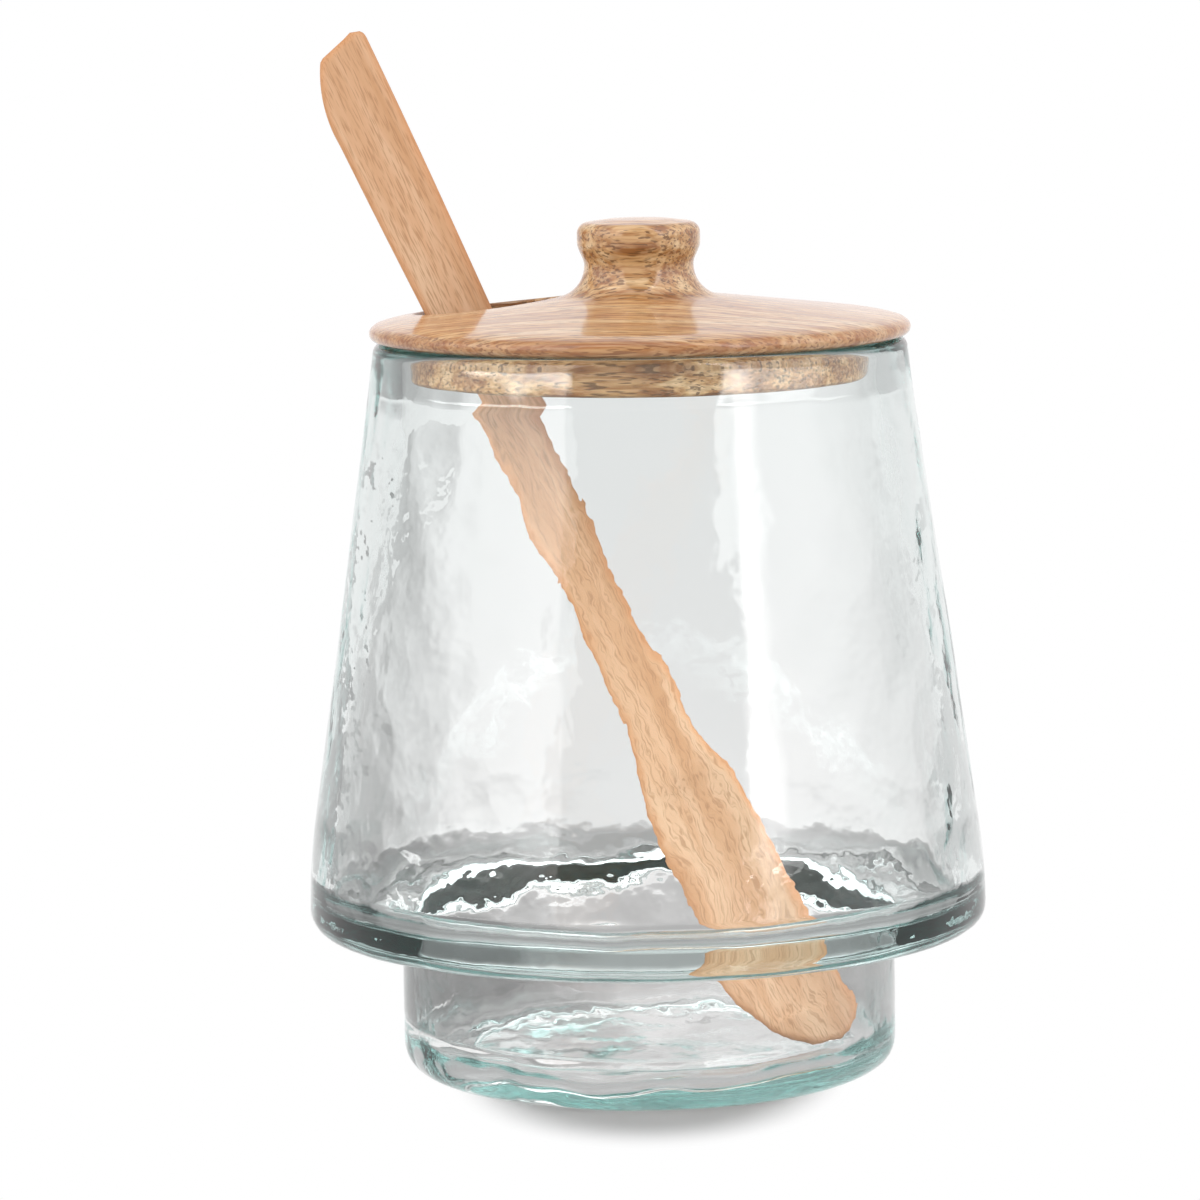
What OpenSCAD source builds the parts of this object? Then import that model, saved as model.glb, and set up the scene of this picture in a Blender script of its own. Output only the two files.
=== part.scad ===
// Jam pot: a mould-blown glass jar on a narrower foot, a lid turned from one piece
// of wood with a round hole for the spoon, and a carved wooden spoon.
// Z is the jar's axis, and the origin is on the table under the middle of the foot.
// The spoon leans back to the left, from the front right of the foot.

/* [Glass foot] */
// Outer diameter of the foot
foot_d = 86.8; // [82:0.1:92]
// Height of the shoulder's underside above the table
foot_h = 25.4; // [20:0.1:32]
// Thickness of the foot's wall
foot_wall = 3; // [2.5:0.1:4.5]
// Thickness of the glass under the spoon
floor_t = 5; // [4:0.1:7]
// Radius of the foot's rounded bottom edge
foot_round = 5.5; // [4:0.1:7]
// Radius inside the foot where its wall meets the floor
foot_in_round = 4; // [3:0.1:5]
// Radius of the hollow corner between the foot and the shoulder
foot_fillet = 1.5; // [0.8:0.1:2.5]
// Height that the underside is pushed up inside the ring that it stands on
punt_h = 1.2; // [0.6:0.1:2]
// Width of the ring that the jar stands on
stand_w = 5; // [3:0.1:7]

/* [Glass body] */
// Widest diameter, just above the shoulder
body_d = 119; // [112:0.5:128]
// Radius of the shoulder's lower edge
shoulder_round = 4; // [3:0.1:5]
// Height of the curve that leads from the shoulder into the straight cone
shoulder_curve_h = 20; // [15:0.5:26]
// Outer diameter of the cone where that curve ends
cone_d = 116.4; // [110:0.1:118]
// Thickness of the glass step over the shoulder's underside
step_t = 5.6; // [4.5:0.1:7]
// Thickness of the wall just over the step
body_wall = 4.6; // [3.5:0.1:5.5]
// Radius inside the body where its wall meets the step
body_in_round = 4.5; // [3.5:0.1:6]
// Radius of the step's edge where it turns down into the foot
step_edge_round = 2.4; // [1.5:0.1:3]

/* [Glass mouth] */
// Height of the rim above the table
jar_h = 128.5; // [115:0.5:145]
// Outer diameter of the rim
mouth_d = 93; // [90:0.1:96]
// Thickness of the wall at the rim
rim_wall = 5.2; // [4.5:0.1:6]
// Radius of the fire-polished edges of the rim
rim_round = 2; // [1.2:0.1:2.4]
// Depth of the straight part of the mouth
mouth_depth = 9; // [8:0.1:12]

/* [Lid] */
// Diameter of the lid
lid_d = 94; // [92:0.5:100]
// Depth of the plug that goes into the mouth
plug_h = 7.3; // [5:0.1:8]
// Radius of the plug's lower edge
plug_round = 0.8; // [0.4:0.1:1.5]
// Thickness of the plate at its rounded edge
plate_edge_t = 2.6; // [2:0.1:4]
// Angle at which the top of the plate rises towards the knob
plate_rise = 7; // [4:0.5:10]
// Width of the band where the top of the plate turns down to the edge
plate_fall_w = 5; // [3:0.5:7]
// Drop of that band
plate_fall_h = 1; // [0.5:0.1:1.5]

/* [Knob] */
// Diameter of the neck
neck_d = 19; // [15:0.5:22]
// Radius of the hollow between the plate and the neck
cove_r = 5.5; // [4:0.1:7]
// Widest diameter of the knob
knob_d = 21.4; // [20:0.1:26]
// Height of the knob above the neck
knob_h = 8.1; // [6.5:0.1:10]
// Radius of the knob's upper edge
knob_round = 2; // [1:0.1:2.4]
// Height of the knob's slightly domed top
knob_dome_h = 0.6; // [0.2:0.1:1.2]

/* [Spoon] */
// Length of the spoon
spoon_l = 195.5; // [180:0.5:210]
// Thickness of the handle
spoon_t = 4.4; // [3.5:0.1:5]
// Width of the bowl
bowl_w = 19.6; // [17:0.1:20]
// Distance from the tip at which the bowl starts to narrow
bowl_l = 19; // [19:1:30]
// Width of the handle where it is narrowest
waist_w = 9.3; // [8:0.1:10.5]
// Distance of that place from the tip
waist_at = 86; // [80:1:112]
// Width of the handle near its end
grip_w = 12.6; // [11:0.1:14]
// Distance of the tip's foremost point from the middle of the bowl
tip_off = 4; // [2:0.1:5]
// Length of the long rounded side of the tip
tip_long = 19; // [14:0.5:24]
// Length of the short rounded side of the tip
tip_short = 6; // [4:0.5:8]
// Slant of the end of the handle
end_slant = 17; // [10:1:25]
// Width of that end, across the handle
end_w = 9.6; // [8.5:0.1:10.5]
// Radius of the long curve that leads from the handle's lower side to the end
end_side_round = 26; // [20:0.5:32]
// Radius of the end's lower corner
end_low_round = 1.5; // [1:0.1:2]
// Radius of the end's upper corner
end_high_round = 1.8; // [1:0.1:2]
// Depth of the bowl's hollow
hollow_deep = 1.7; // [1:0.1:2.2]
// Length of the hollow
hollow_l = 46; // [38:1:52]
// Width of the hollow
hollow_w = 15; // [12:0.1:15.5]

/* [Fit] */
// Gap all round between the plug and the mouth
plug_clear = 1.1; // [0.6:0.1:1.5]
// Gap that pieces resting on each other are drawn apart
seat_gap = 0.3; // [0.2:0.05:0.4]
// Gap between the handle and the side of the hole that it leans on
lean_gap = 0.8; // [0.3:0.05:1]
// Room on each side of the bowl when it is drawn out through the lid
hole_clear = 4.2; // [3.8:0.1:4.4]
// Wood left between the spoon hole and the edge of the lid
hole_edge_w = 5.9; // [5:0.1:6.5]

/* [Pose] */
// Direction in which the spoon leans, counted from +X towards +Y
lean_way = 160; // [150:1:170]
// Turn of the spoon about its own length
spoon_turn = 21.5; // [0:0.5:25]
// Distance that the tip has slid back from the foot's wall
tip_gap = 3.2; // [1:0.1:6]

/* [Hidden] */

$fn = 96;
// Cuts run past the faces that they open by this much
overrun = 1;
// Steps in a quarter of a rounded edge, and in each stretch of the spoon's outline
arc_steps = 8;
side_steps = 24;

// Glass, from the table upwards
foot_r = foot_d / 2;
foot_in_r = foot_r - foot_wall;
stand_out_r = foot_r - foot_round;
stand_in_r = stand_out_r - stand_w;
punt_slope_share = 2;
punt_slope_w = punt_slope_share * punt_h;
body_r = body_d / 2;
cone_r = cone_d / 2;
cone_z = foot_h + shoulder_curve_h;
mouth_r = mouth_d / 2;
mouth_in_r = mouth_r - rim_wall;
mouth_in_z = jar_h - mouth_depth;
step_z = foot_h + step_t;
body_in_r = body_r - body_wall;
cone_in_r = cone_r - body_wall;
// The curve over the shoulder starts upright where the shoulder's lower edge ends
curve_start_z = foot_h + shoulder_round;

// Lid, from the plug upwards
lid_r = lid_d / 2;
lid_z = jar_h + seat_gap;
plug_r = mouth_in_r - plug_clear;
plug_z = lid_z - plug_h;
plate_nose_r = plate_edge_t / 2;
fall_r = lid_r - plate_fall_w;
fall_z = lid_z + plate_edge_t + plate_fall_h;
neck_r = neck_d / 2;
knob_r = knob_d / 2;
// The hollow under the knob ends level on the plate and upright on the neck
cove_c_r = neck_r + cove_r;
cove_c_z = plate_z(cove_c_r) + cove_r / cos(plate_rise);
knob_wide_z = cove_c_z + knob_h / 2;
knob_top_z = cove_c_z + knob_h;
function plate_z(r) = fall_z + (fall_r - r) * tan(plate_rise);

// Spoon hole
hole_d = bowl_w + 2 * hole_clear;
hole_r = hole_d / 2;
hole_at = lid_r - hole_edge_w - hole_r;
hole_out = hole_at + hole_r;

// Points of an arc about a centre, from one angle to another
function arc(c, r, from, to, steps = arc_steps) =
    [for (i = [0:steps]) let (a = from + (to - from) * i / steps)
        c + r * [cos(a), sin(a)]];

// Even curve from one value to another as t goes from 0 to 1
function ease(a, b, t) = a + (b - a) * (1 - cos(180 * t)) / 2;

// Half the spoon's width at a distance from its tip, past the rounded tip
function half_width(s) =
    s < bowl_l ? bowl_w / 2 :
    s < waist_at ? ease(bowl_w, waist_w, (s - bowl_l) / (waist_at - bowl_l)) / 2 :
    ease(waist_w, grip_w, (s - waist_at) / (spoon_l - waist_at)) / 2;

// Outline of the spoon: width along X, the tip at the origin, the handle towards Y.
// The tip points to the low X side, and the end of the handle is cut at a slant.
function tip_side(w, l, way) =
    [for (i = [1:arc_steps]) let (a = 90 * i / arc_steps)
        [way * w * sin(a) - tip_off, l * (1 - cos(a))]];
// One long side, from where the tip's rounding ends to where the handle's end begins
function side(from, to, way) =
    [for (i = [1:side_steps - 1]) let (s = from + (to - from) * i / side_steps)
        [way * half_width(s), s]];
// The handle's end is a slanted line between two rounded corners, and its lower side
// comes in to the lower one in a long curve
end_normal = 90 - end_slant;
end_high_c = [end_high_round - grip_w / 2, spoon_l - end_high_round];
end_low_x = end_w - grip_w / 2 - end_low_round;
end_low_c = [end_low_x,
    (end_high_c * [cos(end_normal), sin(end_normal)] + end_high_round - end_low_round
        - end_low_x * cos(end_normal)) / sin(end_normal)];
end_side_x = grip_w / 2 - end_side_round;
end_side_c = [end_side_x,
    end_low_c[1] - sqrt(pow(end_side_round - end_low_round, 2) - pow(end_low_x - end_side_x, 2))];
end_side_a = atan2(end_low_c[1] - end_side_c[1], end_low_x - end_side_x);
function reversed(list) = [for (i = [len(list) - 1:-1:0]) list[i]];
blade = concat(
    reversed(tip_side(bowl_w / 2 - tip_off, tip_short, -1)),
    [[-tip_off, 0]],
    tip_side(bowl_w / 2 + tip_off, tip_long, 1),
    side(tip_long, end_side_c[1], 1),
    arc(end_side_c, end_side_round, 0, end_side_a),
    arc(end_low_c, end_low_round, end_side_a, end_normal),
    arc(end_high_c, end_high_round, end_normal, 180),
    reversed(side(tip_short, end_high_c[1], -1)));

// Pose of the spoon. It leans by the angle at which its tip stands on the floor near
// the foot's wall and its handle lies against the far side of the hole.
// Each pass of next_lean brings that angle closer.
function rise_of(p, a) = p[1] * cos(a) - p[0] * sin(a) * cos(spoon_turn);
function reach_of(p, a) = p[1] * sin(a) + p[0] * cos(a) * cos(spoon_turn);
function tip_z(a) = floor_t + seat_gap + spoon_t / 2 * sin(a) * sin(spoon_turn)
    - min([for (p = blade) rise_of(p, a)]);
function tip_r(a) = tip_gap - foot_in_r + spoon_t / 2 * cos(a) * sin(spoon_turn)
    - min([for (p = blade) reach_of(p, a)]);
function handle_reach(a) =
    let (s = (plate_z(hole_out) - tip_z(a)) / cos(a))
    (half_width(s) * cos(spoon_turn) + spoon_t / 2 * sin(spoon_turn)) / cos(a);
function next_lean(a) = atan(
    (hole_out - lean_gap - handle_reach(a) - tip_r(a)) / (plate_z(hole_out) - tip_z(a)));
first_lean = 27;
lean = next_lean(next_lean(next_lean(next_lean(first_lean))));

// The jar's section: up the outside, over the rim and down the inside
function jar_outside() = concat(
    [[0, punt_h], [stand_in_r - punt_slope_w, punt_h], [stand_in_r, 0]],
    arc([stand_out_r, foot_round], foot_round, -90, 0),
    arc([foot_r + foot_fillet, foot_h - foot_fillet], foot_fillet, 180, 90),
    arc([body_r - shoulder_round, foot_h + shoulder_round], shoulder_round, -90, 0),
    body_curve(),
    arc([mouth_r - rim_round, jar_h - rim_round], rim_round, 0, 90));
// From upright over the shoulder into the straight cone
function body_curve() =
    [for (i = [0:arc_steps]) let (t = i / arc_steps)
        [body_r + (cone_r - body_r) * t * t,
         curve_start_z + (cone_z - curve_start_z) * t]];
function jar_inside() = concat(
    arc([mouth_in_r + rim_round, jar_h - rim_round], rim_round, 90, 180),
    [[mouth_in_r, mouth_in_z], [cone_in_r, cone_z]],
    arc([body_in_r - body_in_round, step_z + body_in_round], body_in_round, 0, -90),
    arc([foot_in_r + step_edge_round, step_z - step_edge_round], step_edge_round, 90, 180),
    arc([foot_in_r - foot_in_round, floor_t + foot_in_round], foot_in_round, 0, -90),
    [[0, floor_t]]);

module glass_jar() {
    color("#b9d6d2")
        rotate_extrude()
            polygon(concat(jar_outside(), jar_inside()));
}

// The lid's section: plug, plate and knob turned from one piece
function lid_section() = concat(
    [[0, plug_z]],
    arc([plug_r - plug_round, plug_z + plug_round], plug_round, -90, 0),
    [[plug_r, lid_z]],
    arc([lid_r - plate_nose_r, lid_z + plate_nose_r], plate_nose_r, -90, 45),
    plate_fall(),
    arc([cove_c_r, cove_c_z], cove_r, 270 - plate_rise, 180),
    knob_side(),
    arc([knob_r - knob_round, knob_top_z - knob_dome_h - knob_round], knob_round, 0, 90),
    [[knob_r / 2, knob_top_z - knob_dome_h / 4], [0, knob_top_z]]);
// The top of the plate turns down from its even rise to the rounded edge
function plate_fall() =
    let (low = [lid_r - plate_nose_r / 2, lid_z + plate_edge_t])
    [for (i = [1:arc_steps]) let (t = 1 - i / arc_steps)
        [fall_r + (low[0] - fall_r) * t,
         fall_z - (low[0] - fall_r) * t * tan(plate_rise)
             - (fall_z - low[1] - (low[0] - fall_r) * tan(plate_rise)) * t * t]];
function knob_side() =
    [for (i = [1:arc_steps]) let (t = i / arc_steps)
        [ease(neck_r, knob_r, t), cove_c_z + (knob_wide_z - cove_c_z) * t]];

module lid() {
    color("#c69a66")
        difference() {
            rotate_extrude()
                polygon(lid_section());
            rotate([0, 0, lean_way])
                translate([hole_at, 0, plug_z - overrun])
                    cylinder(h = knob_top_z - plug_z + 2 * overrun, d = hole_d);
        }
}

// A long shallow barrel that cuts the hollow of the bowl. Its own radii follow
// from the hollow's width, length and depth.
module hollow_cutter() {
    barrel_r = (pow(hollow_w / 2, 2) + pow(hollow_deep, 2)) / (2 * hollow_deep);
    long_r = (pow(hollow_l / 2, 2) + pow(hollow_deep, 2)) / (2 * hollow_deep);
    half_a = asin(hollow_l / 2 / long_r);
    axis_y = barrel_r - hollow_deep;
    translate([0, spoon_t / 2 + axis_y, tip_short + hollow_l / 2])
        rotate_extrude()
            polygon(concat(
                [[0, -hollow_l / 2]],
                arc([barrel_r - long_r, 0], long_r, -half_a, half_a),
                [[0, hollow_l / 2]]));
}

module spoon() {
    color("#dcaa7c")
        rotate([0, 0, lean_way])
            translate([tip_r(lean), 0, tip_z(lean)])
                rotate([0, lean, 0])
                    rotate([0, 0, spoon_turn])
                        difference() {
                            rotate([90, 0, 0])
                                translate([0, 0, -spoon_t / 2])
                                    linear_extrude(height = spoon_t)
                                        polygon(blade);
                            hollow_cutter();
                        }
}

glass_jar();
lid();
spoon();
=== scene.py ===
"""Jam pot: a mould-blown jar of rippled recycled glass, a turned mango lid, a beech spoon."""
from math import atan, atan2, ceil, cos, hypot, pi, radians, sin, sqrt, tan

import bpy
import numpy as np
from mathutils import Matrix, Vector, noise


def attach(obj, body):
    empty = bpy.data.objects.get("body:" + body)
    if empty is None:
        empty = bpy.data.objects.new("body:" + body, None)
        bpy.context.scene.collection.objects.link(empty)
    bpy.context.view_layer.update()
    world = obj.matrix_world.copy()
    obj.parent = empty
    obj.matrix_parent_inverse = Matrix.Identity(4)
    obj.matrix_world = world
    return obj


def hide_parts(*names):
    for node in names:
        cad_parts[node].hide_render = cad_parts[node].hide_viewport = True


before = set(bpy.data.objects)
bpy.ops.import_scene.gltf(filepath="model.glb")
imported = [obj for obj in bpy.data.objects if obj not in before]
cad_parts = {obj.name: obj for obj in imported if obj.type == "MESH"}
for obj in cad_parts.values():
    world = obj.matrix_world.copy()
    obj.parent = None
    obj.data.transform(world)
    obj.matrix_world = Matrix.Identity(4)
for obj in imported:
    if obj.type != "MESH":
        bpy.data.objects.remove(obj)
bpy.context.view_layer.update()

MM = 0.001

# Glass, in millimetres
foot_r = 43.4
foot_h = 25.4
foot_wall = 3.0
floor_t = 5.0
foot_round = 5.5
foot_in_round = 4.0
foot_fillet = 1.5
punt_h = 1.2
stand_w = 5.0
body_r = 59.5
shoulder_round = 4.0
cone_r = 58.2
cone_z = 45.4
step_t = 5.6
body_wall = 4.6
body_in_round = 4.5
step_edge_round = 2.4
jar_h = 128.5
mouth_r = 46.5
rim_wall = 5.2
rim_round = 2.0
mouth_depth = 9.0

# How uneven the blown glass is: its waves' depths, and how far below the rim they begin
outside_wave = 0.30
outside_dimple = 0.12
inside_wave = 0.5
inside_dimple = 0.2
step_wave = 0.45
floor_fold = 1.7
true_rim = 12.0
ripples_grow = 8.0

# Lid and knob
lid_r = 47.0
plug_h = 7.3
plug_round = 0.8
plate_edge_t = 2.6
plate_rise = radians(7)
plate_fall_w = 5.0
plate_fall_h = 1.0
neck_r = 9.5
cove_r = 5.5
knob_r = 10.7
knob_h = 8.1
knob_round = 2.0
knob_dome_h = 0.6
plug_clear = 1.1
seat_gap = 0.3
hole_r = 14.0
hole_edge_w = 5.9
hole_bevel = 0.7

# Spoon
spoon_l = 195.5
spoon_t = 4.4
bowl_w = 19.6
bowl_l = 19.0
waist_w = 9.3
waist_at = 86.0
grip_w = 12.6
tip_off = 4.0
tip_long = 19.0
tip_short = 6.0
end_slant = radians(17)
end_w = 9.6
end_side_round = 26.0
end_low_round = 1.5
end_high_round = 1.8
hollow_deep = 1.6
hollow_l = 46.0
hollow_w = 15.0
edge_round = 1.5
lean_gap = 0.8
tip_gap = 3.2
lean_way = radians(160)
spoon_turn = radians(21.5)

# Heights and radii that follow
foot_in_r = foot_r - foot_wall
step_z = foot_h + step_t
mouth_in_r = mouth_r - rim_wall
lid_z = jar_h + seat_gap
plug_r = mouth_in_r - plug_clear
plug_z = lid_z - plug_h
fall_r = lid_r - plate_fall_w
fall_z = lid_z + plate_edge_t + plate_fall_h
hole_out = lid_r - hole_edge_w
hole_at = hole_out - hole_r


def plate_z(r):
    """Height of the plate's evenly rising top at radius r."""
    return fall_z + (fall_r - r) * tan(plate_rise)


def ease(a, b, t):
    return a + (b - a) * (1 - cos(pi * t)) / 2


def arc(centre, r, start, end, steps=10):
    """Points of an arc, with its angles in degrees."""
    angles = [radians(start + (end - start) * i / steps) for i in range(steps + 1)]
    return [(centre[0] + r * cos(a), centre[1] + r * sin(a)) for a in angles]


def closer(outline, step):
    """The same outline with points no further apart than step."""
    points = [outline[0]]
    for a, b in zip(outline, outline[1:]):
        count = max(1, ceil(hypot(b[0] - a[0], b[1] - a[1]) / step))
        points += [(a[0] + (b[0] - a[0]) * i / count, a[1] + (b[1] - a[1]) * i / count)
                   for i in range(1, count + 1)]
    return points


def new_piece(name, points, faces):
    """A smooth-shaded mesh object from points in millimetres."""
    mesh = bpy.data.meshes.new(name)
    mesh.from_pydata((np.asarray(points) * MM).tolist(), [], faces)
    mesh.validate()
    mesh.polygons.foreach_set("use_smooth", [True] * len(mesh.polygons))
    piece = bpy.data.objects.new(name, mesh)
    bpy.context.collection.objects.link(piece)
    return piece


def lathe(name, outline, turns, sink=None):
    """Turns an outline of (radius, height) that starts and ends on the axis.
    sink(x, y, z, k) gives how far a point of the outline's row k lies below its surface."""
    flat = np.array(outline)
    run = np.gradient(flat, axis=0)
    run /= np.linalg.norm(run, axis=1)[:, None] + 1e-9
    # The outline goes up the outside, so its outward side is on its right
    out = np.stack([run[:, 1], -run[:, 0]], axis=1)
    points, faces = [], []
    for k, (r, z) in enumerate(outline[1:-1], start=1):
        for i in range(turns):
            a = 2 * pi * i / turns
            x, y = cos(a), sin(a)
            deep = sink(r * x, r * y, z, k) if sink else 0.0
            rr, zz = r - out[k][0] * deep, z - out[k][1] * deep
            points.append((rr * x, rr * y, zz))
    rings = len(outline) - 2
    for k in range(rings - 1):
        for i in range(turns):
            j = (i + 1) % turns
            faces.append((k * turns + i, k * turns + j, (k + 1) * turns + j, (k + 1) * turns + i))
    for end, ring in ((outline[0], 0), (outline[-1], rings - 1)):
        deep = sink(0, 0, end[1], 0 if ring == 0 else len(outline) - 1) if sink else 0.0
        down = deep if ring else -deep
        points.append((0.0, 0.0, end[1] - down))
        for i in range(turns):
            j = (i + 1) % turns
            pair = (ring * turns + i, ring * turns + j)
            faces.append((len(points) - 1,) + (pair if ring else pair[::-1]))
    return new_piece(name, points, faces)


def finished(piece, material, body, node):
    piece.data.materials.clear()
    piece.data.materials.append(material)
    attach(piece, body)
    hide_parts(node)
    return piece


# Materials

def colour(code):
    """An sRGB hex colour as linear red, green, blue and alpha."""
    parts = [int(code[i:i + 2], 16) / 255 for i in (1, 3, 5)]
    linear = [c / 12.92 if c <= 0.04045 else ((c + 0.055) / 1.055) ** 2.4 for c in parts]
    return tuple(linear) + (1.0,)


def add(tree, kind, inputs=None, stops=None, **settings):
    """Adds a node with its settings, its ramp's stops, and its inputs' values or links."""
    made = tree.nodes.new(kind)
    for key, value in settings.items():
        setattr(made, key, value)
    for key, value in (inputs or {}).items():
        if isinstance(value, bpy.types.NodeSocket):
            tree.links.new(value, made.inputs[key])
        else:
            made.inputs[key].default_value = value
    if stops:
        ramp = made.color_ramp
        ramp.elements[0].position, ramp.elements[0].color = stops[0]
        ramp.elements[1].position, ramp.elements[1].color = stops[-1]
        for place, shade in stops[1:-1]:
            ramp.elements.new(place).color = shade
    return made


def new_material(name):
    material = bpy.data.materials.new(name)
    material.use_nodes = True
    material.node_tree.nodes.clear()
    return material, material.node_tree


def recycled_glass_blown():
    """Recycled bottle glass, blown into a mould and fire polished: clear and glossy, with a
    sea-green tint that shows only where one looks through thick glass. The outside is
    smooth, and fine ripples inside make everything behind it look a little torn."""
    material, tree = new_material("recycled_glass_blown")
    place = add(tree, "ShaderNodeTexCoord").outputs["Object"]
    # Ripples about 3 mm apart, as strong as the piece's own "rippled" value says
    ripple = add(tree, "ShaderNodeTexNoise", {"Vector": place, "Scale": 1 / (1.9 * MM),
                                              "Detail": 0.5, "Roughness": 0.5})
    rippled = add(tree, "ShaderNodeAttribute", attribute_name="rippled").outputs["Fac"]
    height = add(tree, "ShaderNodeMath", {0: ripple.outputs["Fac"], 1: rippled},
                 operation="MULTIPLY")
    bump = add(tree, "ShaderNodeBump", {"Height": height.outputs[0], "Strength": 1.0,
                                        "Distance": 0.04 * MM})
    glass = add(tree, "ShaderNodeBsdfPrincipled", {
        "Base Color": colour("#FFFFFF"), "Roughness": 0.0, "IOR": 1.5,
        "Transmission Weight": 1.0, "Normal": bump.outputs["Normal"]})
    tint = add(tree, "ShaderNodeVolumeAbsorption", {"Color": colour("#57B5AF"), "Density": 18.5})
    add(tree, "ShaderNodeOutputMaterial", {"Surface": glass.outputs["BSDF"],
                                           "Volume": tint.outputs["Volume"]})
    return material


def grain_noise(tree, along, across, detail=2.0, distortion=0.0):
    """Noise whose cells are along by across millimetres, the long side with the grain."""
    place = add(tree, "ShaderNodeAttribute", attribute_name="grain_mm").outputs["Vector"]
    scaled = add(tree, "ShaderNodeVectorMath",
                 {0: place, 1: (1 / along, 1 / across, 1 / across)}, operation="MULTIPLY")
    return add(tree, "ShaderNodeTexNoise",
               {"Vector": scaled.outputs[0], "Scale": 1.0, "Detail": detail,
                "Distortion": distortion}).outputs["Fac"]


def mixed(tree, share, first, second):
    return add(tree, "ShaderNodeMix", {0: share, 6: first, 7: second}, data_type="RGBA").outputs[2]


def mango_turned():
    """Mango wood, turned, sanded and lacquered: honey and brown streaks along the grain, open
    dark pores that show as dashes on the top and as dots on the end grain, and a thin
    smooth coat that mirrors the knob and the backdrop at a low angle."""
    material, tree = new_material("mango_turned_lacquered")
    # Streaks are about 2.4 mm wide, fibres 0.6 mm and pores 0.4 mm
    streaks = add(tree, "ShaderNodeValToRGB", {"Fac": grain_noise(tree, 55, 2.4, 4.0, 0.5)},
                  stops=[(0.38, colour("#8A5529")), (0.46, colour("#B47D45")),
                         (0.54, colour("#CFA067")), (0.62, colour("#E8C79A"))])
    fibres = add(tree, "ShaderNodeValToRGB", {"Fac": grain_noise(tree, 12, 0.6, 2.0)},
                 stops=[(0.41, colour("#945F2C")), (0.59, colour("#E6C293"))])
    wood = mixed(tree, 0.4, streaks.outputs["Color"], fibres.outputs["Color"])
    pores = add(tree, "ShaderNodeValToRGB", {"Fac": grain_noise(tree, 4.0, 0.42, 1.0)},
                stops=[(0.56, (0, 0, 0, 1)), (0.64, (1, 1, 1, 1))])
    wood = mixed(tree, add(tree, "ShaderNodeMath", {0: pores.outputs["Color"], 1: 0.8},
                           operation="MULTIPLY").outputs[0], wood, colour("#65421F"))
    # The rim's rounded edge is coloured redder and darker
    edge = add(tree, "ShaderNodeAttribute", attribute_name="edge").outputs["Fac"]
    redder = add(tree, "ShaderNodeMath", {0: edge, 1: 0.4}, operation="MULTIPLY").outputs[0]
    wood = mixed(tree, redder, wood, colour("#A5622F"))
    bump = add(tree, "ShaderNodeBump", {"Height": pores.outputs["Color"], "Strength": 0.5,
                                        "Distance": 0.05 * MM}, invert=True)
    finish = add(tree, "ShaderNodeBsdfPrincipled", {
        "Base Color": wood, "Roughness": 0.5, "IOR": 1.45, "Normal": bump.outputs["Normal"],
        "Coat Weight": 1.0, "Coat Roughness": 0.12, "Coat IOR": 1.5})
    add(tree, "ShaderNodeOutputMaterial", {"Surface": finish.outputs["BSDF"]})
    return material


def beech_sanded():
    """Steamed beech, sanded and left plain: even pinkish tan with short darker flecks along
    the grain, about 3 mm by 0.3 mm, and more orange along the rounded edges."""
    material, tree = new_material("beech_sanded")
    tone = add(tree, "ShaderNodeValToRGB", {"Fac": grain_noise(tree, 45, 3.5, 3.0, 0.3)},
               stops=[(0.32, colour("#D1A077")), (0.5, colour("#DCAF89")),
                      (0.68, colour("#E6C19E"))])
    flecks = add(tree, "ShaderNodeValToRGB", {"Fac": grain_noise(tree, 3.2, 0.28, 1.0)},
                 stops=[(0.50, (0, 0, 0, 1)), (0.68, (1, 1, 1, 1))])
    wood = mixed(tree, add(tree, "ShaderNodeMath", {0: flecks.outputs["Color"], 1: 0.6},
                           operation="MULTIPLY").outputs[0],
                 tone.outputs["Color"], colour("#B0805A"))
    edge = add(tree, "ShaderNodeAttribute", attribute_name="edge").outputs["Fac"]
    warmer = add(tree, "ShaderNodeMath", {0: edge, 1: 0.65}, operation="MULTIPLY").outputs[0]
    wood = mixed(tree, warmer, wood, colour("#DA9258"))
    bump = add(tree, "ShaderNodeBump", {"Height": flecks.outputs["Color"], "Strength": 0.4,
                                        "Distance": 0.04 * MM}, invert=True)
    finish = add(tree, "ShaderNodeBsdfPrincipled", {
        "Base Color": wood, "Roughness": 0.6, "IOR": 1.4, "Normal": bump.outputs["Normal"]})
    add(tree, "ShaderNodeOutputMaterial", {"Surface": finish.outputs["BSDF"]})
    return material


def set_edge(piece, values):
    """Stores how much each point lies on a rounded edge, from 0 to 1."""
    piece.data.attributes.new("edge", "FLOAT", "POINT").data.foreach_set(
        "value", np.clip(values, 0, 1).astype(np.float32))


def points_mm(piece):
    place = np.zeros(len(piece.data.vertices) * 3, np.float32)
    piece.data.vertices.foreach_get("co", place)
    return place.reshape(-1, 3) / MM


def set_grain(piece, to_grain):
    """Stores each point's place along and across the grain, in millimetres."""
    grain = points_mm(piece) @ np.array(to_grain, float).T
    piece.data.attributes.new("grain_mm", "FLOAT_VECTOR", "POINT").data.foreach_set(
        "vector", grain.astype(np.float32).ravel())


# The jar

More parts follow.
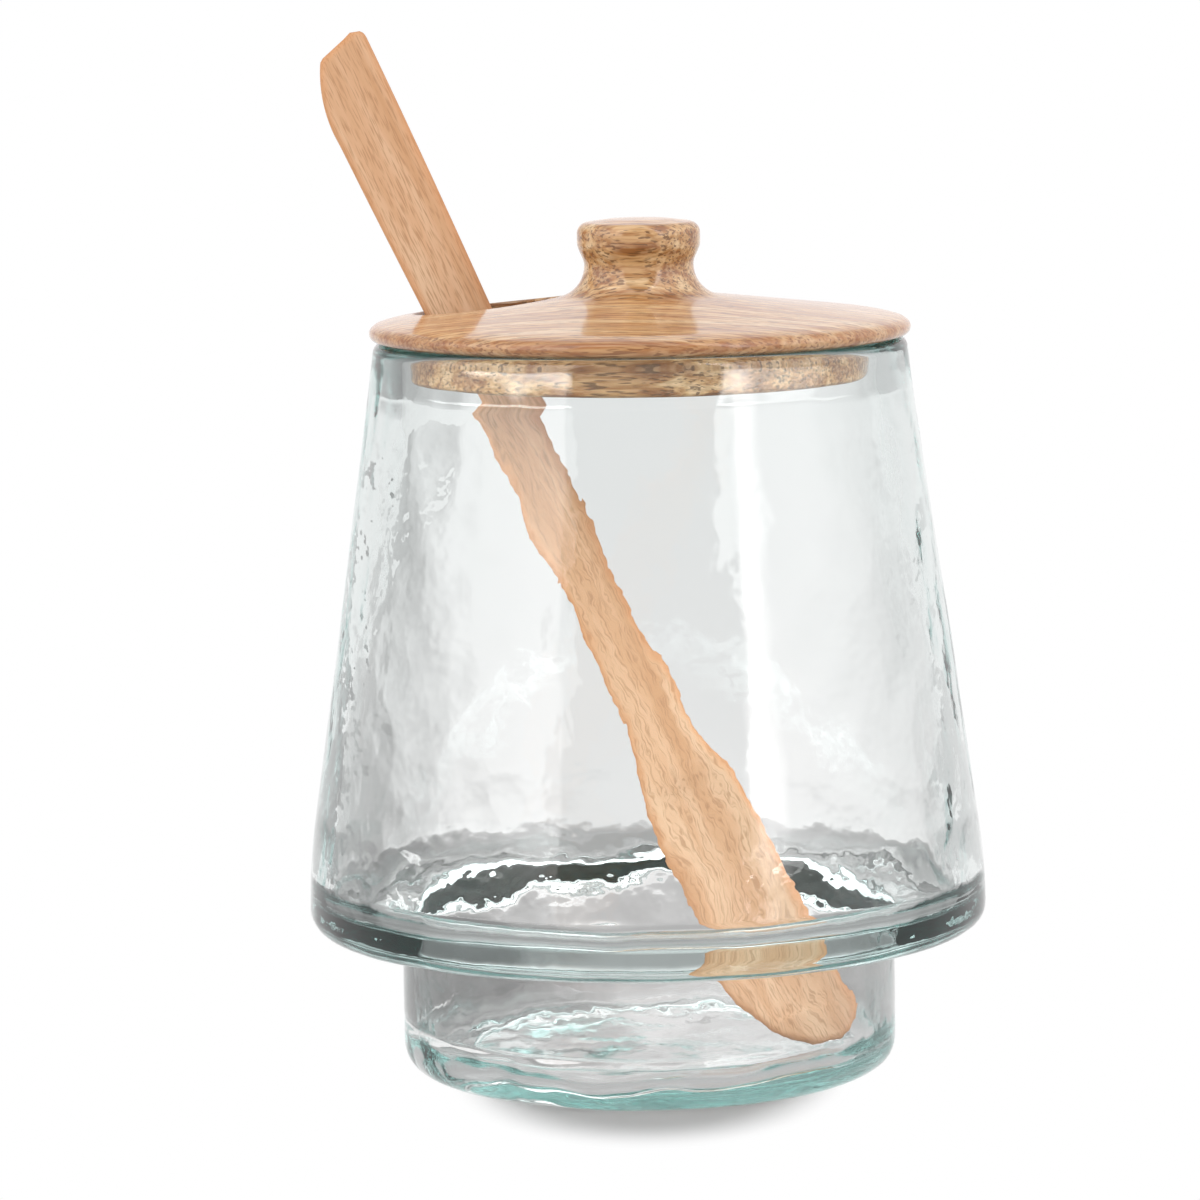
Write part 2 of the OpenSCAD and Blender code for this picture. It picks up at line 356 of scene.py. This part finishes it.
def jar_outline():
    stand_out_r = foot_r - foot_round
    stand_in_r = stand_out_r - stand_w
    curve_start_z = foot_h + shoulder_round
    outside = ([(0, punt_h), (stand_in_r - 2 * punt_h, punt_h), (stand_in_r, 0)]
               + arc((stand_out_r, foot_round), foot_round, -90, 0)
               + arc((foot_r + foot_fillet, foot_h - foot_fillet), foot_fillet, 180, 90)
               + arc((body_r - shoulder_round, foot_h + shoulder_round), shoulder_round, -90, 0)
               + [(body_r + (cone_r - body_r) * (i / 10) ** 2,
                   curve_start_z + (cone_z - curve_start_z) * i / 10) for i in range(1, 11)]
               + arc((mouth_r - rim_round, jar_h - rim_round), rim_round, 0, 90))
    body_in_r = body_r - body_wall
    inside = (arc((mouth_in_r + rim_round, jar_h - rim_round), rim_round, 90, 180)
              + [(mouth_in_r, jar_h - mouth_depth), (cone_r - body_wall, cone_z)]
              + arc((body_in_r - body_in_round, step_z + body_in_round), body_in_round, 0, -90)
              + arc((foot_in_r + step_edge_round, step_z - step_edge_round), step_edge_round,
                    90, 180)
              + arc((foot_in_r - foot_in_round, floor_t + foot_in_round), foot_in_round, 0, -90)
              + [(0, floor_t)])
    return closer(outside, 1.0), closer(inside, 1.0)


def cells(x, y, z, across, up, seed):
    """Smooth noise from 0 to 1 with cells of across by up millimetres."""
    return 0.5 + 0.5 * noise.noise(Vector((x / across + seed, y / across, z / up)))


def blown_jar():
    outside, inside = jar_outline()
    first_inside = len(outside)

    def sink(x, y, z, k):
        # The rim stays true, because the lid sits on it
        calm = min(1.0, max(0.0, (jar_h - z) / true_rim))
        if k < first_inside:
            return calm * (outside_wave * cells(x, y, z, 14, 30, 3.1)
                           + outside_dimple * cells(x, y, z, 7, 9, 8.3))
        deep = (inside_wave * cells(x, y, z, 11, 26, 21.7)
                + inside_dimple * cells(x, y, z, 5, 7, 40.2))
        # The melt lies thick and uneven on the foot's floor and on the step
        if z < step_z + body_in_round:
            deep += step_wave * cells(x, y, z, 13, 13, 61.5)
        # and in folds at the front left of the floor, where it was gathered
        if z < foot_in_round + floor_t:
            front_left = min(1.0, max(0.0, -(x + y) / foot_in_r))
            deep += floor_fold * front_left * cells(x, y, z, 7, 4, 12.9)
        return calm * deep
    turns = 384
    jar = lathe("blown_jar", outside + inside, turns, sink)
    # Fire polishing smooths the outside; inside, the glass keeps its ripples except at the mouth
    below_mouth = jar_h - mouth_depth - points_mm(jar)[:, 2]
    rippled = np.clip(below_mouth / ripples_grow, 0.03, 1).astype(np.float32)
    rippled[:(first_inside - 1) * turns] = 0.1
    jar.data.attributes.new("rippled", "FLOAT", "POINT").data.foreach_set("value", rippled)
    return jar


# The lid

def lid_outline():
    nose_r = plate_edge_t / 2
    cove_c_r = neck_r + cove_r
    cove_c_z = plate_z(cove_c_r) + cove_r / cos(plate_rise)
    wide_z = cove_c_z + knob_h / 2
    top_z = cove_c_z + knob_h
    low = (lid_r - nose_r / 2, lid_z + plate_edge_t)
    fall = []
    for i in range(1, 11):
        t = 1 - i / 10
        w = (low[0] - fall_r)
        even = fall_z - w * t * tan(plate_rise)
        fall.append((fall_r + w * t, even - (fall_z - low[1] - w * tan(plate_rise)) * t * t))
    return closer(
        [(0, plug_z)]
        + arc((plug_r - plug_round, plug_z + plug_round), plug_round, -90, 0)
        + [(plug_r, lid_z)]
        + arc((lid_r - nose_r, lid_z + nose_r), nose_r, -90, 45)
        + fall
        + arc((cove_c_r, cove_c_z), cove_r, 270 - 7, 180)
        + [(ease(neck_r, knob_r, i / 10), cove_c_z + (wide_z - cove_c_z) * i / 10)
           for i in range(1, 11)]
        + arc((knob_r - knob_round, top_z - knob_dome_h - knob_round), knob_round, 0, 90)
        + [(knob_r / 2, top_z - knob_dome_h / 4), (0, top_z)], 1.0)


def lid_top(r):
    """Height of the lid's top at radius r, read from its outline."""
    above = [p for p in lid_outline() if p[1] > lid_z + plate_edge_t / 2 and p[0] > neck_r]
    above.sort()
    return float(np.interp(r, [p[0] for p in above], [p[1] for p in above]))


def hole_cutter():
    """A round bar that flares where it leaves the wood, so that the hole's edges are eased."""
    turns, steps = 96, 5
    centre = (hole_at * cos(lean_way), hole_at * sin(lean_way))
    columns = []
    for i in range(turns):
        a = 2 * pi * i / turns
        rim = (centre[0] + hole_r * cos(a), centre[1] + hole_r * sin(a))
        top = lid_top(hypot(*rim))
        column = [(hole_bevel * 2, plug_z - hole_bevel)]
        column += [(hole_bevel * (1 - sin(b)), plug_z + hole_bevel * (1 - cos(b)))
                   for b in (pi / 2 * s / steps for s in range(steps + 1))]
        column += [(hole_bevel * (1 - cos(b)), top - hole_bevel * (1 - sin(b)))
                   for b in (pi / 2 * s / steps for s in range(steps + 1))]
        column += [(hole_bevel * 2, top + hole_bevel * 3)]
        columns.append([(centre[0] + (hole_r + w) * cos(a), centre[1] + (hole_r + w) * sin(a), z)
                        for w, z in column])
    rows = len(columns[0])
    points = [columns[i][k] for k in range(rows) for i in range(turns)]
    faces = [(k * turns + i, k * turns + (i + 1) % turns,
              (k + 1) * turns + (i + 1) % turns, (k + 1) * turns + i)
             for k in range(rows - 1) for i in range(turns)]
    faces.append(tuple(range(turns))[::-1])
    faces.append(tuple(range((rows - 1) * turns, rows * turns)))
    return new_piece("hole_cutter", points, faces)


def turned_lid():
    lid = lathe("turned_lid", lid_outline(), 256)
    cutter = hole_cutter()
    cut = lid.modifiers.new("hole", "BOOLEAN")
    cut.operation, cut.solver, cut.object = "DIFFERENCE", "EXACT", cutter
    graph = bpy.context.evaluated_depsgraph_get()
    whole = bpy.data.meshes.new_from_object(lid.evaluated_get(graph))
    lid.modifiers.clear()
    lid.data = whole
    bpy.data.objects.remove(cutter)
    # The grain runs across the lid, turned 7 degrees from left to right
    turn = Matrix.Rotation(radians(7), 3, "Z")
    set_grain(lid, turn)
    place = points_mm(lid)
    out = np.hypot(place[:, 0], place[:, 1])
    set_edge(lid, (out - (lid_r - plate_edge_t)) / plate_edge_t * (place[:, 2] > lid_z - seat_gap))
    return lid


# The spoon

def half_width(s):
    if s < bowl_l:
        return bowl_w / 2
    if s < waist_at:
        return ease(bowl_w, waist_w, (s - bowl_l) / (waist_at - bowl_l)) / 2
    return ease(waist_w, grip_w, (s - waist_at) / (spoon_l - waist_at)) / 2


def spoon_sides():
    """The spoon's two sides from the tip to the handle's end, as (width, length) points."""
    normal = pi / 2 - end_slant
    high_c = (end_high_round - grip_w / 2, spoon_l - end_high_round)
    low_x = end_w - grip_w / 2 - end_low_round
    low_c = (low_x, (high_c[0] * cos(normal) + high_c[1] * sin(normal) + end_high_round
                     - end_low_round - low_x * cos(normal)) / sin(normal))
    side_x = grip_w / 2 - end_side_round
    side_c = (side_x, low_c[1] - sqrt((end_side_round - end_low_round) ** 2
                                      - (low_x - side_x) ** 2))
    bend = atan2(low_c[1] - side_c[1], low_x - side_x) * 180 / pi

    def tip_side(w, l, way):
        return [(way * w * sin(a) - tip_off, l * (1 - cos(a)))
                for a in (pi / 2 * i / 24 for i in range(25))]

    def long_side(start, end, way):
        return [(way * half_width(start + (end - start) * i / 60), start + (end - start) * i / 60)
                for i in range(1, 60)]
    degrees = normal * 180 / pi
    right = (tip_side(bowl_w / 2 + tip_off, tip_long, 1) + long_side(tip_long, side_c[1], 1)
             + arc(side_c, end_side_round, 0, bend, 16)
             + arc(low_c, end_low_round, bend, degrees, 6)
             + arc(high_c, end_high_round, degrees, 90, 4)[:1])
    left = (tip_side(bowl_w / 2 - tip_off, tip_short, -1) + long_side(tip_short, high_c[1], -1)
            + arc(high_c, end_high_round, 180, degrees, 8))
    return right, left


def spoon_pose():
    """Rotation and place of the spoon: its tip on the floor, its handle against the hole."""
    right, left = spoon_sides()
    outline = right + left

    def tip_z(a):
        lowest = min(s * cos(a) - x * sin(a) * cos(spoon_turn) for x, s in outline)
        return floor_t + seat_gap + spoon_t / 2 * sin(a) * sin(spoon_turn) - lowest

    def tip_r(a):
        nearest = min(s * sin(a) + x * cos(a) * cos(spoon_turn) for x, s in outline)
        return tip_gap - foot_in_r + spoon_t / 2 * cos(a) * sin(spoon_turn) - nearest
    lean = radians(27)
    for _ in range(4):
        rise = plate_z(hole_out) - tip_z(lean)
        reach = (half_width(rise / cos(lean)) * cos(spoon_turn)
                 + spoon_t / 2 * sin(spoon_turn)) / cos(lean)
        lean = atan((hole_out - lean_gap - reach - tip_r(lean)) / rise)
    turn = (Matrix.Rotation(lean_way, 3, "Z") @ Matrix.Rotation(lean, 3, "Y")
            @ Matrix.Rotation(spoon_turn, 3, "Z"))
    place = Matrix.Rotation(lean_way, 3, "Z") @ Vector((tip_r(lean), 0, tip_z(lean)))
    return turn, place


def edge_distance(points, outline):
    """Distance of each point from a closed outline."""
    a = np.array(outline)
    b = np.roll(a, -1, axis=0)
    near = np.full(len(points), 1e9)
    for start, end in zip(a, b):
        along = end - start
        size = float(along @ along)
        if size < 1e-12:
            continue
        t = np.clip(((points - start) @ along) / size, 0, 1)[:, None]
        near = np.minimum(near, np.linalg.norm(points - (start + t * along), axis=1))
    return near


def carved_spoon():
    right, left = spoon_sides()
    rows, columns = 260, 33
    end_s = max(p[1] for p in right + left)
    lengths = [end_s * (1 - cos(pi * i / (rows - 1))) / 2 * 0.35 + end_s * i / (rows - 1) * 0.65
               for i in range(rows)]
    low = np.interp(lengths, [p[1] for p in left], [p[0] for p in left])
    high = np.interp(lengths, [p[1] for p in right], [p[0] for p in right])
    low, high = np.minimum(low, high), np.maximum(low, high)
    grid = []
    for s, a, b in zip(lengths, low, high):
        for j in range(columns):
            share = sin(pi / 2 * (2 * j / (columns - 1) - 1))
            grid.append(((a + b) / 2 + (b - a) / 2 * share, s))
    grid = np.array(grid)
    inward = edge_distance(grid, right + left[::-1])
    bend = np.clip(edge_round - inward, 0, edge_round)
    height = spoon_t / 2 - edge_round + np.sqrt(edge_round ** 2 - bend ** 2)
    # The bowl's hollow, a shallow trough with soft ends
    across = np.clip(1 - (grid[:, 0] / (hollow_w / 2)) ** 2, 0, 1)
    along = np.clip(1 - ((grid[:, 1] - tip_short - hollow_l / 2) / (hollow_l / 2)) ** 2, 0, 1)
    hollow = hollow_deep * across * np.sqrt(along) * np.clip(inward / 3, 0, 1)
    front = np.column_stack([grid[:, 0], height - hollow, grid[:, 1]])
    back = np.column_stack([grid[:, 0], -height, grid[:, 1]])
    count = len(grid)
    points = np.vstack([front, back])
    faces = []
    for i in range(rows - 1):
        for j in range(columns - 1):
            k = i * columns + j
            faces.append((k, k + columns, k + columns + 1, k + 1))
            faces.append((count + k, count + k + 1, count + k + columns + 1, count + k + columns))
    border = ([i * columns for i in range(rows)]
              + [(rows - 1) * columns + j for j in range(1, columns)]
              + [i * columns + columns - 1 for i in range(rows - 2, -1, -1)]
              + list(range(columns - 2, 0, -1)))
    for a, b in zip(border, border[1:] + border[:1]):
        faces.append((a, count + a, count + b, b))
    turn, place = spoon_pose()
    placed = points @ np.array(turn).T + np.array(place)
    spoon = new_piece("carved_spoon", placed, faces)
    weld = spoon.modifiers.new("weld", "WELD")
    weld.merge_threshold = 0.01 * MM
    graph = bpy.context.evaluated_depsgraph_get()
    whole = bpy.data.meshes.new_from_object(spoon.evaluated_get(graph))
    spoon.modifiers.clear()
    spoon.data = whole
    # The grain runs along the handle: length first, then width and thickness
    inverse = np.array(turn.transposed())
    set_grain(spoon, inverse[[2, 0, 1]])
    local = (points_mm(spoon) - np.array(place)) @ np.array(turn)
    set_edge(spoon, 1 - edge_distance(local[:, [0, 2]], right + left[::-1]) / edge_round)
    return spoon


jar = finished(blown_jar(), recycled_glass_blown(), "jar", "glass_jar")
lid = finished(turned_lid(), mango_turned(), "lid", "lid")
spoon = finished(carved_spoon(), beech_sanded(), "spoon", "spoon")


# Studio

# Lamp powers in watts
softbox_left_power = 4.3
softbox_right_power = 3.8
overhead_power = 4.6

# What the glass lets through is a little warm, so that its thin walls look nearly grey
through_white = (0.985, 0.94, 0.94)


def round_the_pot(tree, place, left, right):
    """A level of light that changes round the pot. Left and right are lists of angles from the
    camera's side, going round by the left to the back and coming home by the right."""
    angle = add(tree, "ShaderNodeMath", {0: place["X"], 1: place["Y"]},
                operation="ARCTAN2").outputs[0]
    turn = add(tree, "ShaderNodeMapRange", {"Value": angle, "From Min": -pi, "From Max": pi,
                                            "To Min": 0.0, "To Max": 1.0}).outputs[0]
    most = max(level for _, level in left + right)
    stops = [(a / 360, (level / most,) * 3 + (1.0,)) for a, level in left]
    stops += [(1 - a / 360, (level / most,) * 3 + (1.0,)) for a, level in right]
    ring = add(tree, "ShaderNodeValToRGB", {"Fac": turn}, stops=stops).outputs["Color"]
    return add(tree, "ShaderNodeMath", {0: ring, 1: most}, operation="MULTIPLY").outputs[0]


def studio_world():
    """White where the camera looks. What glass and lacquer mirror or let through goes round
    the pot in steps: dim behind the camera, a soft panel to its left, a bright strip and a
    weaker panel to its right, and near white behind the pot. What matt surfaces scatter
    meets an even grey."""
    world = bpy.data.worlds.new("studio")
    bpy.context.scene.world = world
    world.use_nodes = True
    tree = world.node_tree
    tree.nodes.clear()
    path = add(tree, "ShaderNodeLightPath").outputs
    way = add(tree, "ShaderNodeSeparateXYZ",
              {0: add(tree, "ShaderNodeTexCoord").outputs["Generated"]}).outputs
    around = round_the_pot(tree, way, [(0, 0.42), (31, 0.42), (32.5, 2.7), (60, 2.3), (90, 1.9),
                                       (120, 0.8), (150, 0.6), (168, 1.0), (180, 1.0)],
                           [(140, 0.9), (105, 1.6), (75, 2.3), (50, 2.2), (46, 5.0), (39, 5.0),
                            (37.5, 0.42), (0, 0.42)])
    raised = add(tree, "ShaderNodeMapRange", {"Value": way["Z"], "From Min": 0.03, "From Max": 0.12,
                                              "To Min": 0.0, "To Max": 1.0}).outputs[0]
    around = add(tree, "ShaderNodeMix", {0: raised, 2: 1.0, 3: around}).outputs[0]
    # Through glass it is brighter overhead, which lights up the thick step and foot
    lift = add(tree, "ShaderNodeMapRange", {"Value": way["Z"], "From Min": 0.50, "From Max": 0.66,
                                            "To Min": 0.0, "To Max": 2.0}).outputs[0]
    lift = add(tree, "ShaderNodeMath", {0: lift, 1: path["Is Transmission Ray"]},
               operation="MULTIPLY").outputs[0]
    around = add(tree, "ShaderNodeMath", {0: around, 1: lift}, operation="ADD").outputs[0]
    through = add(tree, "ShaderNodeVectorMath", {0: through_white, "Scale": around},
                  operation="SCALE").outputs[0]
    # The wood inside the glass gets a little more, for what the glass keeps from it
    matt = add(tree, "ShaderNodeMath", {0: path["Diffuse Depth"], 1: 0.5},
               operation="GREATER_THAN").outputs[0]
    even = mixed(tree, path["Is Transmission Ray"], (0.42, 0.42, 0.42, 1.0), (2.1, 2.1, 2.1, 1.0))
    light = mixed(tree, matt, through, even)
    light = mixed(tree, path["Is Camera Ray"], light, (1.0, 1.0, 1.0, 1.0))
    sky = add(tree, "ShaderNodeBackground", {"Color": light, "Strength": 1.0})
    add(tree, "ShaderNodeOutputWorld", {"Surface": sky.outputs[0]})


def lamp(name, place, aim, width, tall, power, lit, blocking):
    """A soft lamp for the lit pieces, which only the blocking ones shade. Glass and lacquer
    mirror the backdrop's own panels instead of it."""
    light = bpy.data.lights.new(name, "AREA")
    light.shape, light.size, light.size_y = "RECTANGLE", width, tall
    light.energy = power
    holder = bpy.data.objects.new(name, light)
    bpy.context.collection.objects.link(holder)
    holder.location = place
    holder.rotation_euler = (Vector(aim) - Vector(place)).to_track_quat("-Z", "Y").to_euler()
    holder.visible_camera = holder.visible_glossy = holder.visible_transmission = False
    for use, pieces in (("receiver_collection", lit), ("blocker_collection", blocking)):
        group = bpy.data.collections.new(name + "_" + use)
        for piece in pieces:
            group.objects.link(piece)
        setattr(holder.light_linking, use, group)


def softbox(name, azimuth, power, wood):
    """A tall lamp beside the pot that shines on the wood, also through the glass. Its azimuth
    counts from the camera's side to the left."""
    distance, height = 0.7, 0.42
    a = radians(azimuth)
    lamp(name, (-distance * sin(a), -distance * cos(a), height), (0, 0, 0.1), 0.9, 0.9, power,
         wood, wood)


def pale_floor():
    """A plain white sheet. Seen directly it is as white as the backdrop wherever no shadow falls on
    it, and past a set oval round the pot it glows white over the shadow too. Seen through glass
    only its glow shows, with painted shade near the pot and painted light far out in front."""
    half = 3.0
    floor = new_piece("floor", [(x / MM, y / MM, 0) for x, y in
                                ((-half, -half), (half, -half), (half, half), (-half, half))],
                      [(0, 1, 2, 3)])
    material, tree = new_material("white_sheet")
    path = add(tree, "ShaderNodeLightPath").outputs
    seen = add(tree, "ShaderNodeMath", {0: path["Is Camera Ray"], 1: path["Is Glossy Ray"]},
               operation="MAXIMUM").outputs[0]
    seen = add(tree, "ShaderNodeMath", {0: seen, 1: path["Is Transmission Ray"]},
               operation="MAXIMUM").outputs[0]
    matt = add(tree, "ShaderNodeBsdfDiffuse", {"Color": (0.5, 0.5, 0.5, 1.0)})
    glow = add(tree, "ShaderNodeEmission", {
        "Color": colour("#FFFFFF"),
        "Strength": add(tree, "ShaderNodeMath", {0: seen, 1: 0.19},
                        operation="MULTIPLY").outputs[0]})
    near = add(tree, "ShaderNodeAddShader", {0: matt.outputs[0], 1: glow.outputs[0]})
    # Past an oval round the pot, set here, the sheet glows as white as the backdrop. This painted
    # light cuts the pot's shadow short; inside the oval the real shadow shows. Through glass only
    # the glow shows, white behind the pot and with painted shade towards the sides.
    place = add(tree, "ShaderNodeTexCoord").outputs["Object"]
    from_shade = add(tree, "ShaderNodeVectorMath", {0: place, 1: (0, 6 * MM, 0)}, operation="ADD")
    narrowed = add(tree, "ShaderNodeVectorMath", {0: from_shade.outputs[0], 1: (1.75, 1, 1)},
                   operation="MULTIPLY")
    away = add(tree, "ShaderNodeVectorMath", {0: narrowed.outputs[0]},
               operation="LENGTH").outputs["Value"]
    fade = add(tree, "ShaderNodeMapRange", {"Value": away, "From Min": 40 * MM, "From Max": 62 * MM,
                                            "To Min": 0.0, "To Max": 1.0},
               interpolation_type="SMOOTHSTEP").outputs[0]
    fade = add(tree, "ShaderNodeMath", {0: fade, 1: seen}, operation="MULTIPLY").outputs[0]
    fade = add(tree, "ShaderNodeMath", {0: fade, 1: path["Is Transmission Ray"]},
               operation="MAXIMUM").outputs[0]
    parts = add(tree, "ShaderNodeSeparateXYZ", {0: place}).outputs
    # Painted shade: through glass the sheet's glow is dimmer round the pot's sides and front than
    # right behind it
    level = round_the_pot(tree, parts, [(0, 0.7), (90, 0.6), (130, 0.3), (160, 0.45), (173, 1.0)],
                          [(166, 1.0), (145, 0.7), (90, 0.75), (0, 0.7)])
    # Painted shade under the shoulder's overhang: the sheet's glow, which the thick glass picks up,
    # is darker near the pot
    reach = add(tree, "ShaderNodeVectorMath", {0: place}, operation="LENGTH").outputs["Value"]
    painted_overhang_shade = add(tree, "ShaderNodeValToRGB", {"Fac": reach}, stops=[
        (edge, (light,) * 3 + (1.0,)) for edge, light in
        ((0.04, 0.8), (0.08, 0.48), (0.13, 0.5), (0.33, 1.0))]).outputs["Color"]
    level = add(tree, "ShaderNodeMath", {0: level, 1: painted_overhang_shade}, operation="MULTIPLY").outputs[0]
    # Painted light: far out in front the sheet glows much brighter than white, in patches that
    # stand in for the feet of the backdrop's panels, so that the lid's plug mirrors them through
    # the glass
    painted_panel_glow = round_the_pot(tree, parts, [(0, 0.7), (31, 0.7), (32.5, 12.0), (90, 10.0), (110, 0.7)],
                         [(105, 3.0), (50, 6.0), (46, 11.0), (39, 11.0), (37.5, 0.7), (0, 0.7)])
    far = add(tree, "ShaderNodeMapRange", {"Value": reach, "From Min": 0.8, "From Max": 1.0,
                                           "To Min": 0.0, "To Max": 1.0}).outputs[0]
    in_front = add(tree, "ShaderNodeMath", {0: parts["Y"], 1: 0.3},
                   operation="LESS_THAN").outputs[0]
    far = add(tree, "ShaderNodeMath", {0: far, 1: in_front}, operation="MULTIPLY").outputs[0]
    level = add(tree, "ShaderNodeMix", {0: far, 2: level, 3: painted_panel_glow}).outputs[0]
    behind = add(tree, "ShaderNodeVectorMath", {0: through_white, "Scale": level},
                 operation="SCALE").outputs[0]
    tone = mixed(tree, path["Is Transmission Ray"], (1.0, 1.0, 1.0, 1.0), behind)
    white = add(tree, "ShaderNodeEmission", {"Color": tone, "Strength": 1.0})
    both = add(tree, "ShaderNodeMixShader", {0: fade, 1: near.outputs[0], 2: white.outputs[0]})
    add(tree, "ShaderNodeOutputMaterial", {"Surface": both.outputs[0]})
    floor.data.materials.append(material)
    return floor


def photo_camera():
    """The photograph's view: nearly level, from the front, tilted a little to the left."""
    yaw, pitch, roll = -0.0079, 0.1267, -0.0153
    stand = (0, -0.96459, 0.20561)
    focal_px, frame_px, sensor_mm = 5566.25, 1200, 36.0
    ahead = Vector((sin(yaw) * cos(pitch), cos(yaw) * cos(pitch), -sin(pitch)))
    level = Vector((cos(yaw), -sin(yaw), 0))
    upright = level.cross(ahead)
    right = cos(roll) * level + sin(roll) * upright
    up = -sin(roll) * level + cos(roll) * upright
    lens = bpy.data.cameras.new("camera")
    lens.sensor_width = sensor_mm
    lens.lens = focal_px * sensor_mm / frame_px
    camera = bpy.data.objects.new("camera", lens)
    bpy.context.collection.objects.link(camera)
    camera.matrix_world = Matrix((right, up, -ahead)).transposed().to_4x4()
    camera.location = stand
    bpy.context.scene.camera = camera


bpy.context.scene.view_settings.view_transform = "Standard"
studio_world()
# Light goes to and fro inside thick glass before it gets out
paths = bpy.context.scene.cycles
paths.max_bounces, paths.glossy_bounces, paths.transmission_bounces = 32, 24, 32
softbox("softbox_left", 60, softbox_left_power, [lid, spoon])
softbox("softbox_right", -60, softbox_right_power, [lid, spoon])
floor = pale_floor()
lamp("overhead", (0, 0.15, 0.9), (0, 0, 0), 0.6, 0.6, overhead_power, [floor],
     [jar, lid, spoon])
photo_camera()
